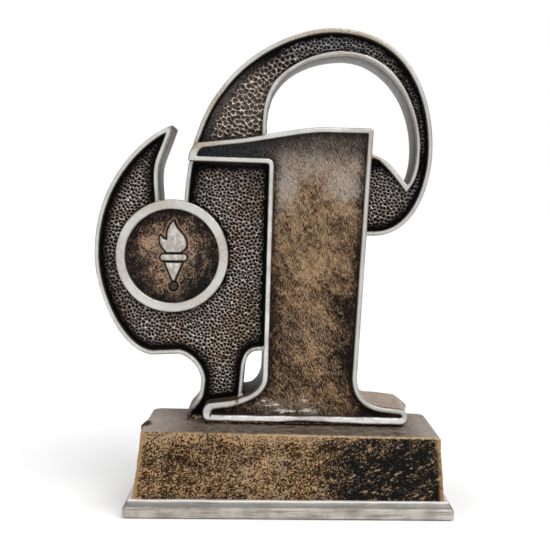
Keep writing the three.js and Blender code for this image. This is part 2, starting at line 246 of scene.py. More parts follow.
def inside(points, loops):
    """True for the points inside an odd number of the loops."""
    odd = np.zeros(len(points), bool)
    px, pz = points.T
    for loop in loops:
        for (ax, az), (bx, bz) in zip(loop, np.roll(loop, -1, 0)):
            if az != bz:
                crosses = (az > pz) != (bz > pz)
                odd ^= crosses & (px < (bx - ax) * (pz - az) / (bz - az) + ax)
    return odd


def search_tree(points):
    """A tree that finds the nearest of the points in a plane."""
    tree = kdtree.KDTree(len(points))
    for i, point in enumerate(points):
        tree.insert((*point, 0), i)
    tree.balance()
    return tree


def clearance(points, loops, keep=None):
    """Distance from each point to the nearest edge of the loops, of those edges that keep allows."""
    starts = np.concatenate(loops)
    ends = np.concatenate([np.roll(loop, -1, 0) for loop in loops])
    if keep is not None:
        kept = keep((starts + ends) / 2)
        starts, ends = starts[kept], ends[kept]
    tree = search_tree((starts + ends) / 2)
    near = np.array([[hit[1] for hit in tree.find_n((*point, 0), 3)] for point in points])
    best = np.full(len(points), np.inf)
    for column in near.T:
        first, along = starts[column], ends[column] - starts[column]
        share = np.clip(np.sum((points - first) * along, 1) / np.sum(along**2, 1), 0, 1)
        best = np.minimum(best, np.hypot(*(points - first - along * share[:, None]).T))
    return best


def lattice(loops, step):
    """Points of a slightly scattered triangular layout inside the loops."""
    low, high = np.min(loops[0], 0), np.max(loops[0], 0)
    columns = np.arange(low[0], high[0], step)
    rows = np.arange(low[1], high[1], step * math.sqrt(0.75))
    x, z = np.meshgrid(columns, rows)
    x[1::2] += step / 2
    points = np.stack([x.ravel(), z.ravel()], 1)
    points += RANDOM.uniform(-0.12, 0.12, points.shape) * step
    return points[inside(points, loops)]


def waver(points, size, length):
    """Smooth pseudo-random values in about -size to size over points, with the given wavelength."""
    if points.shape[1] == 2:
        points = np.stack([points[:, 0], np.zeros(len(points)), points[:, 1]], 1)
    return np.array([noise.noise(Vector(point / length)) for point in points]) * size * 1.6


def smoothstep(values, low, high):
    """0 below low, 1 above high and a smooth step between them."""
    share = np.clip((values - low) / (high - low), 0, 1)
    return share * share * (3 - 2 * share)


def fade(values, low, high):
    """1 below low, 0 above high and a smooth step between them."""
    return 1 - smoothstep(values, low, high)


# ---------------------------------------------------------------- meshes

def padded(values, total, rest=0.0):
    """The values of the first points, and rest for all others."""
    return np.concatenate([values, np.full(total - len(values), rest)])


def make_piece(name, points, faces, node, slot, attributes=None, sharp=38):
    """A mesh object from points in mm, riding on the frame and standing for a CAD node.

    attributes holds values by point for the paint; they may stop at the last front point.
    """
    mesh = bpy.data.meshes.new(name)
    mesh.from_pydata((np.asarray(points) * MM).tolist(), [], faces)
    mesh.validate()
    shells = bmesh.new()
    shells.from_mesh(mesh)
    bmesh.ops.recalc_face_normals(shells, faces=shells.faces)
    shells.to_mesh(mesh)
    shells.free()
    for label, values in (attributes or {}).items():
        layer = mesh.attributes.new(label, "FLOAT", "POINT")
        layer.data.foreach_set("value", padded(values, len(points)).astype(np.float32))
    mesh.polygons.foreach_set("use_smooth", [True] * len(mesh.polygons))
    mesh.set_sharp_from_angle(angle=math.radians(sharp))
    piece = bpy.data.objects.new(name, mesh)
    bpy.context.scene.collection.objects.link(piece)
    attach(piece, "root")
    if node:
        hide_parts(node)
    return piece


def band(first, second):
    """Faces between two closed rows of point numbers."""
    return np.stack([np.roll(first, -1), first, second, np.roll(second, -1)], 1).tolist()


def triangulated(loops, inner):
    """Points and triangles that fill the loops. The loops' points come first, in their order."""
    points = np.concatenate([*loops, inner])
    edges = []
    for loop in loops:
        first = edges[-1][0] + 1 if edges else 0
        edges += [(first + i, first + (i + 1) % len(loop)) for i in range(len(loop))]
    made = delaunay_2d_cdt([Vector(point) for point in points.tolist()], edges, [], 0, 1e-7)
    places = np.array([tuple(point) for point in made[0]])
    triangles = np.array(made[2])
    if len(places) != len(points):
        tree = search_tree(points)
        source = [ids[0] if ids else tree.find((*place, 0))[1] for place, ids in zip(places, made[3])]
        triangles = np.array(source)[triangles]
        triangles = triangles[[len(set(triangle)) == 3 for triangle in triangles]]
    kept = inside(points[triangles].mean(1), loops)
    return points, triangles[kept]


def relief(loops, inner, front, back, edge_round=0.0, wall_rows=1, wall_shift=None):
    """A closed casting with a modelled front.

    front gives the y of each front point; the walls run back to y = back, where their edge is
    rounded. wall_shift moves the walls' points in x and z. Returns points, faces and the number of
    front points.
    """
    flat, triangles = triangulated(loops, inner)
    points = [np.stack([flat[:, 0], front(flat), flat[:, 1]], 1)]
    faces = triangles.tolist()
    count = len(flat)
    first = 0
    back_loops, back_starts = [], []
    for loop in loops:
        size = len(loop)
        normal = inward(loop)
        above = np.arange(first, first + size)
        front_y = points[0][above, 1]
        last_y = back - edge_round
        shares = [EDGE_DEPTH / (back - np.max(front_y)), *np.arange(1, wall_rows + 1) / wall_rows]
        rows = [(front_y + (last_y - front_y) * share, 0.0) for share in shares]
        if edge_round:
            for turn in ROUND_TURNS:
                rows.append((last_y + edge_round * math.sin(turn), edge_round * (1 - math.cos(turn))))
        for y, inset in rows:
            place = loop + normal * inset
            row = np.stack([place[:, 0], np.broadcast_to(y, size), place[:, 1]], 1)
            if wall_shift is not None:
                row[:, [0, 2]] += wall_shift(row)
            points.append(row)
            below = np.arange(count, count + size)
            faces += band(above, below)
            above = below
            count += size
        back_loops.append(points[-1][:, [0, 2]])
        back_starts.append(above)
        first += size
    _, back_triangles = triangulated(back_loops, NO_POINTS)
    faces += np.concatenate(back_starts)[back_triangles[:, ::-1]].tolist()
    return np.concatenate(points), faces, len(flat)


# ---------------------------------------------------------------- layers read from the frame

PANEL = box_mm("numeral_body")[0][1]
NUMERAL_FRONT = box_mm("numeral_rim")[0][1]
SWIRL_RIM_FRONT = box_mm("crown_rim")[0][1]
FIELD, FIGURE_BACK = (corner[1] for corner in box_mm("swirl_plate"))
RING_LOW, RING_HIGH = box_mm("roundel_ring")
RING_CENTRE = (RING_LOW + RING_HIGH)[[0, 2]] / 2
RING_OUTER = (RING_HIGH - RING_LOW)[0] / 2
RING_INNER = np.min(np.hypot(*(vertices_mm("roundel_ring")[:, [0, 2]] - RING_CENTRE).T))
RING_FRONT = RING_LOW[1]
DISC_FRONT = box_mm("roundel_disc")[0][1]
BADGE_FRONT = box_mm("torch_flame")[0][1]
FOOT = box_mm("lobe_rim")[0][2]
NUMERAL_LOOPS = [smoothed(loop) for loop in plane_loops("numeral_rim", NUMERAL_FRONT)]
SWIRL_LOOPS = [smoothed(loop) for loop in plane_loops("swirl_plate", FIGURE_BACK)]
SWIRL_RIMS = ["lobe_rim", "slot_rim", "crown_rim", "opening_rim", "arch_rim"]


def ring_distance(points):
    """Distance from the roundel's outer edge, positive outside it."""
    return np.hypot(*(points - RING_CENTRE).T) - RING_OUTER


# ---------------------------------------------------------------- swirl casting

def thrown(low, high, spacing):
    """Random points in a rectangle, as many as fit with none closer together than spacing."""
    size = spacing / math.sqrt(2)
    taken = {}
    tries = int(6 * np.prod(high - low) / spacing**2)
    for point in RANDOM.uniform(low, high, (tries, 2)):
        column, row = (point // size).astype(int).tolist()
        near = (taken.get((column + i, row + k)) for i in range(-2, 3) for k in range(-2, 3))
        if all(other is None or math.dist(point, other) >= spacing for other in near):
            taken[column, row] = point
    return np.array(list(taken.values()))


def pebbles(points):
    """0 in the middle of a pit, 1 on the ridge between two pits."""
    low, high = points.min(0) - 2, points.max(0) + 2
    middles = []
    for pitch, large in ((PEBBLE_PITCH, False), (CROWN_PITCH, True)):
        layout = thrown(low, high, pitch * PEBBLE_CROWDING)
        middles.append(layout[in_crown_foot(layout) == large])
    tree = search_tree(np.concatenate(middles))
    near, next_near = np.array([[hit[2] for hit in tree.find_n((*point, 0), 2)] for point in points]).T
    return 2 * near / (near + next_near)


def in_crown_foot(points):
    low, high = CROWN_FOOT
    return np.all((points > low) & (points < high), 1)


def swirl_casting():
    """The swirl's plate, with its pebbled field modelled where it can be seen."""
    loops = SWIRL_LOOPS
    sight = NUMERAL_LOOPS[0]
    everywhere = lattice(loops, HIDDEN_STEP)
    fine = lattice(loops, FIELD_STEP)

    def seen(points, margin):
        off_ring = ring_distance(points) > -margin
        off_numeral = ~inside(points, [sight]) | (clearance(points, [sight]) < margin)
        return off_ring & off_numeral

    fine = fine[seen(fine, 0.5)]
    fine = fine[clearance(fine, loops) > FIELD_STEP * 0.7]
    coarse = everywhere[~seen(everywhere, 1.2)]
    inner = np.concatenate([fine, coarse])
    flat = np.concatenate([*loops, inner])
    outer = clearance(flat, loops[:1]) - OUTER_RIM
    from_numeral = clearance(flat, [sight])
    border = np.minimum.reduce([
        outer,
        clearance(flat, loops[1:]) - OPENING_RIM,
        np.abs(ring_distance(flat)) + 0.6,
        np.where(flat[:, 0] > 15, from_numeral + 0.8, from_numeral * 0.85),
    ])
    border = np.clip(border + waver(flat, 0.4, 1.7), 0, 3)
    ridge = pebbles(flat) * smoothstep(border, 0.15, FIELD_BORDER + 0.3)
    ridge *= np.where(in_crown_foot(flat), smoothstep(outer, 0.0, 2.6), 1)
    height = ridge**1.7 * (0.8 + waver(flat, 0.35, 1.0))

    def front(points):
        return FIELD + 0.12 - RIDGE_HEIGHT * height + waver(points, 0.05, 4)

    points, faces, count = relief(loops, inner, front, FIGURE_BACK, BACK_ROUND, 6)
    attributes = {"ridge": ridge, "border": border, "outer": np.clip(outer, 0, 6), "front": np.ones(count)}
    return make_piece("swirl_casting", points, faces, "swirl_plate", "pebbled_bronze", attributes, 50)


# ---------------------------------------------------------------- rims

def bead(distance, front):
    """The y of a rim's face at a distance from its edge."""
    share = np.clip(distance / BEAD_WIDTH, 0, 1)
    return front + BEAD_DROP * (1 - np.sqrt(1 - (1 - share) ** 2))


def rim(name, node, front, back, swirl=True):
    """A rounded cast rim over a rim node's outline. A swirl's rim ends against other pieces."""
    loops = [smoothed(loop, 0.3) for loop in plane_loops(node, front)]
    free = None
    if swirl:
        loops = [loop + reach(loop) for loop in loops]
        free = free_edges
    else:
        loops = [loop + lift(loop, i > 0) for i, loop in enumerate(loops)]
    inner = []
    for loop in loops:
        normal = inward(loop)
        for depth in BEAD_DEPTHS:
            ring = loop + normal * depth
            ring = ring[inside(ring, loops)]
            inner.append(ring[clearance(ring, loops) > depth * 0.93])
    inner = np.concatenate(inner)
    flat = np.concatenate([*loops, inner])
    distance = clearance(flat, loops, free)

    flatness, heel = 0, 0
    if not swirl:
        above = foot_height(flat)
        flatness = 0.6 * fade(above, 2.0, 2.6)
        heel = FOOT_LEAN * np.clip(FOOT_RIM - above, 0, FOOT_RIM)

    def face(points):
        rounding = (bead(distance, front) - front) * (1 - flatness)
        return front + rounding - heel + waver(points, CAST_WAVER, 5) + waver(points, 0.02, 1.1)

    points, faces, _ = relief(loops, inner, face, back, 0, 2)
    if swirl:
        silhouette = clearance(flat, SWIRL_LOOPS)
    else:
        silhouette = clearance(flat, [NUMERAL_LOOPS[0]], beside_swirl)
    # Dark wash and painted shade along the rim's foot where it meets the casting, but not where its edge is
    # the figure's outline
    foot_wash_and_shade = fade(distance, 0.05, 0.36) * smoothstep(silhouette, 0.5, 0.9)
    attributes = {"edge": distance, "foot_wash_and_shade": padded(foot_wash_and_shade, len(points), 1.0)}
    return make_piece(name, points, faces, node, "pewter", attributes, 60)


def beside_swirl(middles):
    """True for the edges that do not lie in front of the swirl."""
    return ~inside(middles, SWIRL_LOOPS)


def free_edges(middles):
    """False for the edges with which the swirl's rims end on the roundel, the numeral or the block."""
    near_ring = np.abs(ring_distance(middles)) < 0.55
    near_numeral = clearance(middles, [NUMERAL_LOOPS[0]]) < 0.55
    return ~(near_ring | near_numeral | (middles[:, 1] < FOOT + 0.1))


def reach(loop):
    """Moves for a swirl rim's points that carry its cut ends a little into the next piece."""
    to_ring = RING_CENTRE - loop
    to_ring /= np.hypot(*to_ring.T)[:, None]
    near_ring = (np.abs(ring_distance(loop)) < 0.45)[:, None]
    outline = NUMERAL_LOOPS[0]
    near_numeral = (clearance(loop, [outline]) < 0.45)[:, None]
    normal = inward(outline)
    tree = search_tree(outline)
    towards = np.array([normal[tree.find((*point, 0))[1]] for point in loop])
    down = np.outer(loop[:, 1] < FOOT + 0.05, (0, -1))
    return JOIN * (to_ring * near_ring + towards * near_numeral + down)


def foot_height(points):
    """Height over the sloping underside of the numeral's foot."""
    outline = NUMERAL_LOOPS[0]
    under = outline[inward(outline)[:, 1] > 0.99]
    line = np.polyfit(*under[under[:, 1] < FOOT + 0.5].T, 1)
    return points[:, 1] - np.polyval(line, points[:, 0])


def lift(loop, hole):
    """Moves that make the rim under the numeral's foot rise and waver, and narrow the slots above it."""
    x = loop[:, 0]
    above = foot_height(loop)
    wave = waver(np.stack([x, np.zeros(len(x))], 1), 0.08, 5)
    if hole:
        low = fade(above, 1.6, 2.1)
        left_toe = fade(x, -17, -9) * fade(above, 8, 12)
        rise = low * (0.3 + 0.2 * smoothstep(x, -10, 15) - wave) - 0.5 * left_toe * (1 - low)
        return np.stack([0.8 * fade(x, -22, -19.5), rise], 1)
    low = fade(above, 0.75, 1.25)
    middle, reach_x, height = FOOT_HUMP
    hump = FOOT_RISE + height * np.exp(-((x - middle) / reach_x) ** 2) + wave
    end = fade(above, 2.4, 3.2) * (1 - low)
    return np.stack([np.zeros(len(x)), low * hump + end * (0.5 - wave)], 1)


# ---------------------------------------------------------------- numeral casting

def foot_draft(row):
    """How far the foot's top and ends move, growing towards the back."""
    x, y, z = row.T
    depth = np.clip((y - FIELD) / (FIGURE_BACK - FIELD), 0, 1)
    end = smoothstep(x, 31, 33) * fade(z, FOOT, FOOT + 4.5)
    top = smoothstep(x, 21, 26) * fade(x, 31, 33.2)
    fillet = smoothstep(x, 17.5, 19.5) * fade(x, 21, 24)
    low = fade(z, 31, 38) * smoothstep(z, FOOT + 1.8, FOOT + 3)
    web = fade(x, -12.5, -9) * smoothstep(z, 28, 29) * fade(z, 31, 33)
    left = fade(x, -7.4, -6) * fade(z, 41, 44)
    end_gain, top_gain, fillet_loss = FOOT_DRAFT
    rise = (top_gain * top - fillet_loss * fillet) * low + top_gain * web
    return np.stack([depth * (end_gain * end - top_gain * left), depth * rise], 1)


def numeral_casting():
    """The numeral's panel, with smears of paint above its foot, and the parts of its body behind it."""
    border_loop = NUMERAL_LOOPS[1][::-1]
    outline = NUMERAL_LOOPS[0]
    inner = lattice([outline], PANEL_STEP)
    smear_box = np.array(SMEAR_BOX)
    inner = np.concatenate([inner[~inside(inner, [smear_box])], lattice([smear_box], SMEAR_STEP)])
    inner = inner[inside(inner, [outline])]
    inner = inner[clearance(inner, [outline]) > 0.3]
    flat = np.concatenate([outline, inner])
    within = inside(flat, [border_loop])
    border = np.where(within, clearance(flat, [border_loop]), 0)
    cove = 0.45 * fade(border, 0, 0.9)
    smear = np.zeros(len(flat))
    for x, z, reach_x, reach_z in SMEARS:
        far = np.hypot((flat[:, 0] - x) / reach_x, (flat[:, 1] - z) / reach_z)
        smear = np.maximum(smear, fade(far + waver(flat, 0.35, 1.1), 0.6, 1.05))
    smear *= within

    def front(points):
        stretched = points * [1, 0.16]
        brushed = waver(stretched, 0.05, 0.7) + waver(points, 0.07, 3.2)
        lump = smear * (0.16 + waver(points, 0.14, 0.7))
        return PANEL + 0.12 - cove + (brushed - 0.05) * within - lump

    slab_back = FIELD - 0.3
    points, faces, count = relief([outline], inner, front, slab_back)
    for loop in plane_loops("numeral_body", FIGURE_BACK):
        if abs(area(loop)) < SMALLEST_PART:
            continue
        loop = smoothed(loop if area(loop) > 0 else loop[::-1])
        part, part_faces, _ = relief([loop], NO_POINTS, lambda flat: np.full(len(flat), slab_back - 0.2),
                                     FIGURE_BACK, BACK_ROUND, 8, foot_draft)
        faces += [[i + len(points) for i in face] for face in part_faces]
        points = np.concatenate([points, part])
    attributes = {"border": border, "smear": smear, "front": np.ones(count)}
    return make_piece("numeral_casting", points, faces, "numeral_body", "panel_bronze", attributes, 50)


# ---------------------------------------------------------------- roundel

def roundel_bezel():
    """The ring, a rounded profile turned about an axis along Y."""
    inner, outer, front, back = RING_INNER, RING_OUTER, RING_FRONT, FIELD + 0.2
    soft, steps = 0.45, 160
    profile = [(inner, back), (inner, front + soft)]
    for turn in ROUND_TURNS:
        profile.append((inner + soft * (1 - math.cos(turn)), front + soft * (1 - math.sin(turn))))
    profile.append(((inner + outer) / 2, front - 0.04))
    for turn in (*ROUND_TURNS[::-1], 0):
        profile.append((outer - soft * (1 - math.cos(turn)), front + soft * (1 - math.sin(turn))))
    profile.append((outer, back))
    points = []
    for turn in np.arange(steps) * 2 * math.pi / steps:
        across = np.array([math.cos(turn), math.sin(turn)])
        for radius, y in profile:
            x, z = RING_CENTRE + across * radius
            points.append((x, y, z))
    points = np.array(points)
    points[:, 1] += waver(points, 0.03, 3)
    rows = np.arange(len(points)).reshape(steps, -1)
    faces = []
    for row, following in zip(rows, np.roll(rows, -1, 0)):
        faces += band(following, row)
    radii = np.hypot(*(points[:, [0, 2]] - RING_CENTRE).T)
    edge = np.clip(np.minimum(radii - inner, outer - radii), 0, 2)
    # The ring's edges carry the same dark wash and painted shade
    attributes = {"edge": edge, "foot_wash_and_shade": fade(edge, 0.0, 0.16)}
    return make_piece("roundel_bezel", points, faces, "roundel_ring", "pewter", attributes, 40)


def torch_loop(part):
    return smoothed(plane_loops("torch_" + part, BADGE_FRONT)[0], 0.2)


def roundel_medallion():
    """The uneven disc, with a groove and a raised lip round the torch."""
    radius = RING_INNER - 0.1
    turns = np.arange(200) * 2 * math.pi / 200
    rim_loop = RING_CENTRE + np.stack([np.cos(turns), np.sin(turns)], 1) * radius
    inner = lattice([rim_loop], 0.26)
    inner = inner[np.hypot(*(inner - RING_CENTRE).T) < radius - 0.15]
    flat = np.concatenate([rim_loop, inner])
    torch = [torch_loop(part) for part in ("flame", "collar", "handle", "ball")]
    near = np.minimum.reduce([np.where(inside(flat, [loop]), 0, clearance(flat, [loop])) for loop in torch])
    groove = fade(near, 0.2, 0.42)
    lip = smoothstep(near, 0.34, 0.54) * fade(near, 0.6, 1.0)
    border = radius - np.hypot(*(flat - RING_CENTRE).T)

    def front(points):
        lumps = waver(points, 0.09, 1.6) + waver(points, 0.05, 0.6)
        return DISC_FRONT + lumps * (1 - groove) + 0.3 * groove - 0.14 * lip

    points, faces, _ = relief([rim_loop], inner, front, FIELD + 0.2)
    attributes = {"border": border, "groove": groove, "lip": lip}
    return make_piece("roundel_medallion", points, faces, "roundel_disc", "badge_bronze", attributes)


def torch_piece(part, slot, swell):
    """A raised badge piece with a rounded edge and a swelling towards its middle."""
    loop = torch_loop(part)
    inner = lattice([loop], 0.22)
    inner = inner[clearance(inner, [loop]) > 0.12]
    flat = np.concatenate([loop, inner])
    distance = clearance(flat, [loop])

    def front(points):
        rounding = 0.22 * fade(distance, 0, 0.3)
        return BADGE_FRONT + rounding - swell * smoothstep(distance, 0.1, 1.4) + waver(points, 0.04, 0.8)

    points, faces, _ = relief([loop], inner, front, DISC_FRONT + 0.4)
    return make_piece("badge_" + part, points, faces, "torch_" + part, slot, {"edge": distance})


# ---------------------------------------------------------------- base

def rounded_rectangle(low, high, front_radius, back_radius, step):
    """Points round a rectangle in x and y, clockwise from above, from the middle of its front."""
    corners = [
        (low[0], low[1], front_radius, 270),
        (low[0], high[1], back_radius, 180),
        (high[0], high[1], back_radius, 90),
        (high[0], low[1], front_radius, 0),
    ]
    path = []
    for x, y, radius, start in corners:
        centre_x = x + radius if x == low[0] else x - radius
        centre_y = y + radius if y == low[1] else y - radius
        for turn in np.radians(np.linspace(start, start - 90, 7)):
            path.append((centre_x + radius * math.cos(turn), centre_y + radius * math.sin(turn)))
    path = np.array(path)
    ahead = np.roll(path, -1, 0) - path
    length = np.hypot(*ahead.T)
    points = []
    for start, along, size in zip(path, ahead, length):
        steps = max(1, round(size / step))
        points += [start + along * i / steps for i in range(steps)]
    return np.array(points)


def stacked(rows, cap=NO_POINTS):
    """A closed body from rows of equal length, each a closed ring; cap's points lie in the last one."""
    size = len(rows[0])
    points = np.concatenate(rows)
    numbers = np.arange(len(points)).reshape(-1, size)
    faces = []
    for lower, upper in zip(numbers, numbers[1:]):
        faces += band(upper, lower)
    for row, inner, turn in ((numbers[0], NO_POINTS, -1), (numbers[-1], cap, 1)):
        ring = points[row]
        flat, triangles = triangulated([ring[:, :2]], inner)
        extra = flat[size:]
        lookup = np.concatenate([row, np.arange(len(points), len(points) + len(extra))])
        points = np.concatenate([points, np.column_stack([extra, plane_height(ring, extra)])])
        faces += lookup[triangles][:, ::turn].tolist()
    return points, faces


def plane_height(ring, places):
    """Heights of places on the plane that best fits a ring of points."""
    base = np.concatenate([ring[:, :2], np.ones((len(ring), 1))], 1)
    fit = np.linalg.lstsq(base, ring[:, 2], rcond=None)[0]
    return places @ fit[:2] + fit[2]


def block_casting():
    """The block: sides that lean in and are slightly hollow, and a top that slopes to the right."""
    corners = vertices_mm("pedestal_block")
    low, high = corners.min(0), corners.max(0)
    top = corners[corners[:, 2] > (low[2] + high[2]) / 2]
    top_low, top_high = top.min(0), top.max(0)
    left_top = top[top[:, 0] < 0][:, 2].max()
    right_top = top[top[:, 0] > 30][:, 2].max()
    slope = (right_top - left_top) / (top_high[0] - top_low[0])
    height = (left_top + right_top) / 2 - low[2]
    soft = BLOCK_ROUND / height
    shares = [*np.linspace(0, 1 - soft, round(height / BLOCK_STEP)), *(1 - soft * (1 - np.sin(ROUND_TURNS)))]
    insets = [0.0] * (len(shares) - 3) + list(BLOCK_ROUND * (1 - np.cos(ROUND_TURNS)))
    rings = []
    for share, inset in zip(shares, insets):
        hollow = BLOCK_FLARE * math.sin(math.pi * share) * (1.25 - 0.5 * share)
        margin = hollow + inset
        lower = low[:2] + (top_low[:2] - low[:2]) * share + margin
        upper = high[:2] + (top_high[:2] - high[:2]) * share - margin
        rings.append(rounded_rectangle(lower, upper, FRONT_CORNER, BACK_CORNER, BLOCK_STEP))
    size = min(len(ring) for ring in rings)
    stack = []
    for share, ring in zip(shares, rings):
        along = np.concatenate([[0], np.cumsum(np.hypot(*(np.roll(ring, -1, 0) - ring).T))])
        wanted = np.arange(size) / size * along[-1]
        closed = np.concatenate([ring, ring[:1]])
        x, y = np.interp(wanted, along, closed[:, 0]), np.interp(wanted, along, closed[:, 1])
        z = low[2] + (height + slope * (x - (top_low[0] + top_high[0]) / 2)) * share
        stack.append(np.stack([x, y, z], 1))
    points, faces = stacked(stack, lattice([stack[-1][::-1, :2]], 1.1))
    edge = padded(np.repeat(shares, size), len(points), 1.0)
    front_y = low[1] + (top_low[1] - low[1]) * edge
    left_x = low[0] + (top_low[0] - low[0]) * edge
    right_x = high[0] + (top_high[0] - high[0]) * edge
    side = np.minimum(points[:, 0] - left_x, right_x - points[:, 0]) + np.maximum(points[:, 1] - front_y, 0)
    corner = fade(side, 0.7, 1.7)
    flash = np.exp(-np.sum(((points[:, 1:] - FLASH_PLACE) / FLASH_REACH) ** 2, 1)) * (points[:, 0] < -37)
    points[:, 0] -= FLASH_LUMP * flash
    points = roughened(points, len(stack) * size, size)
    attributes = {"share": edge, "corner": corner, "flash": flash}
    return make_piece("block_casting", points, faces, "pedestal_block", "block_bronze", attributes, 50)


def roughened(points, wall_count, size):
    """The block's points with its cast texture: fine lumps on the walls and soft ones on top."""
    middle = points[:, :2].mean(0)
    out = points[:wall_count, :2] - middle
    across = np.zeros((wall_count, 2))
    side = np.argmax(np.abs(out) / BLOCK_HALF, 1)
    each = np.arange(wall_count)
    across[each, side] = np.sign(out[each, side])
    lumps = waver(points[:wall_count], 0.09, 0.75) + waver(points[:wall_count], 0.12, 4.5)
    fade = np.ones(wall_count)
    fade[-3 * size:] = 0.3
    points[:wall_count, :2] += across * (lumps * fade)[:, None] - across * 0.06
    points[wall_count:, 2] += waver(points[wall_count:], 0.05, 4)
    return points


def joint_line():
    """The glue squeezed out between the figure's feet and the block."""
    top = vertices_mm("pedestal_block")
    top = top[top[:, 2] > 18]
    low, high = top.min(0), top.max(0)
    fall = (high[2] - top[top[:, 0] > 0][:, 2].max()) / (high[0] - low[0])
    toe = min(x for x, z in NUMERAL_LOOPS[0] if z < FOOT + 0.3)
    leg = min(x for x, z in plane_loops("swirl_plate", FIGURE_BACK)[0] if z < FOOT + 0.1)
    shapes = {
        "joint_glue_numeral": ((toe, PANEL - 1.2), (31.6, FIGURE_BACK - 0.6)),
        "joint_glue_leg": ((leg - 0.2, FIELD - 0.6), (-21, FIGURE_BACK - 0.6)),
    }
    pieces = []
    for name, corners in shapes.items():
        ring = rounded_rectangle(*np.array(corners), 0.5, 0.5, 0.3)
        out = ring - ring.mean(0)
        out /= np.abs(out).max(0)
        rows = []
        for share in (0, 0.25, 0.5, 0.75, 1):
            swell = 0.5 * math.sin(math.pi * min(1, share * 1.2)) + 0.1
            wavy = waver(np.insert(ring, 2, share * 2, 1), 0.45, 1.3) + swell
            place = ring + np.sign(out) * (np.abs(out) > 0.93) * wavy[:, None]
            under = high[2] - fall * (place[:, 0] - low[0])
            rows.append(np.stack([*place.T, under - GLUE_DEPTH + (GLUE_HEIGHT + GLUE_DEPTH) * share], 1))
        pieces.append(make_piece(name, *stacked(rows), None, "block_bronze"))
    return pieces


def plinth_moulding():
    """The plinth: an upright edge, a hollowed slope and a rounded lip, with a pocket for the felt."""
    low, high = box_mm("plinth")
    levels = np.unique(np.round(vertices_mm("plinth")[:, 2], 3))
    edge_top = levels[np.argmin(np.abs(levels - (low[2] + 2.6)))]
    pocket = box_mm("felt_pad")
    pocket_inset = pocket[0][0] - low[0] - 0.3
    profile = [
        (pocket_inset, pocket[1][2]),
        (pocket_inset, low[2]),
        (0.25, low[2]),
        (0.05, low[2] + 0.12),
        (0.0, low[2] + 0.35),
        (0.0, edge_top - 0.35),
        (0.02, edge_top - 0.12),
        (0.14, edge_top),
        (0.3, edge_top + 0.02),
        (0.42, edge_top + 0.1),
        (0.5, edge_top + 0.45),
        (0.7, edge_top + 0.85),
        (0.98, edge_top + 1.12),
        (1.06, edge_top + 1.3),
        (1.1, edge_top + 1.55),
        (1.22, edge_top + 1.74),
        (1.42, edge_top + 1.82),
        (1.75, edge_top + 1.8),
        (2.4, edge_top + 1.8),
    ]
    base = rounded_rectangle(low[:2], high[:2], PLINTH_CORNER, PLINTH_CORNER, 0.8)
    centre = (low[:2] + high[:2]) / 2
    half = (high[:2] - low[:2]) / 2
    rows = [np.insert(centre + (base - centre) * (half - inset) / half, 2, z, 1) for inset, z in profile]
    points, faces = stacked(rows)
    out = np.sign(points[:, :2]) * (np.abs(points[:, :2]) > half - 2.5)
    points[:, :2] += out * (waver(points, 0.06, 7) - 0.04)[:, None]
    points[:, 2] += waver(points, 0.03, 9) * (points[:, 2] > edge_top - 0.5)
    heights = (points[:, 2] - low[2]) / (high[2] - low[2])
    return make_piece("plinth_moulding", points, faces, "plinth", "plinth_grey", {"share": heights}, 50)


def felt_sole():
    """The felt pad, with soft edges and a slightly uneven outline."""
    low, high = box_mm("felt_pad")
    bottom, top = low[2], high[2]
    base = rounded_rectangle(low[:2], high[:2], FELT_CORNER, FELT_CORNER, 0.9)
    half = (high[:2] - low[:2]) / 2
    profile = [(1.2, bottom), (0.2, bottom), (0, bottom + 0.2), (0, top - 0.1), (0.2, top), (1.2, top)]
    rows = [np.insert(base * (half - inset) / half, 2, z, 1) for inset, z in profile]
    points, faces = stacked(rows)
    points[:, :2] -= np.sign(points[:, :2]) * np.abs(waver(points, 0.12, 0.9))[:, None]
    return make_piece("felt_sole", points, faces, "felt_pad", "felt")


# ---------------------------------------------------------------- paint

def srgb(red, green, blue):
    """A linear colour from 0 to 255 display values."""
    parts = [value / 255 for value in (red, green, blue)]
    return (*[p / 12.92 if p <= 0.04045 else ((p + 0.055) / 1.055) ** 2.4 for p in parts], 1)


class Value:
    """An output of a node, which can be calculated with. Every result is a new node's output."""

    def __init__(self, tree, socket):
        self.tree = tree
        self.socket = socket

    def __add__(self, other):
        return self.tree.math("ADD", self, other)

    def __sub__(self, other):
        return self.tree.math("SUBTRACT", self, other)

    def __rsub__(self, other):
        return self.tree.math("SUBTRACT", other, self)

    def __mul__(self, other):
        return self.tree.math("MULTIPLY", self, other)

    def maximum(self, other):
        return self.tree.math("MAXIMUM", self, other)

    def between(self, low, high, first=0.0, last=1.0):
        """The value mapped smoothly from low..high to first..last."""
        inputs = {"Value": self, "From Min": low, "From Max": high, "To Min": first, "To Max": last}
        return self.tree.add("ShaderNodeMapRange", inputs, interpolation_type="SMOOTHSTEP")


class Tree:
    """A node tree put together step by step."""

    def __init__(self, nodes, links):
        self.nodes = nodes
        self.links = links

    def add(self, kind, inputs=None, output=0, **settings):
        """One output of a new node, whose inputs are Values or constants."""
        node = self.nodes.new(kind)
        for label, value in settings.items():
            setattr(node, label, value)
        for label, value in (inputs or {}).items():
            self.feed(node.inputs[label], value)
        return Value(self, node.outputs[output])

    def feed(self, socket, value):
        if isinstance(value, Value):
            self.links.new(value.socket, socket)
        else:
            socket.default_value = value

    def math(self, operation, first, second):
        return self.add("ShaderNodeMath", {0: first, 1: second}, operation=operation)

    def vector(self, operation, inputs, output=0):
        return self.add("ShaderNodeVectorMath", inputs, output, operation=operation)


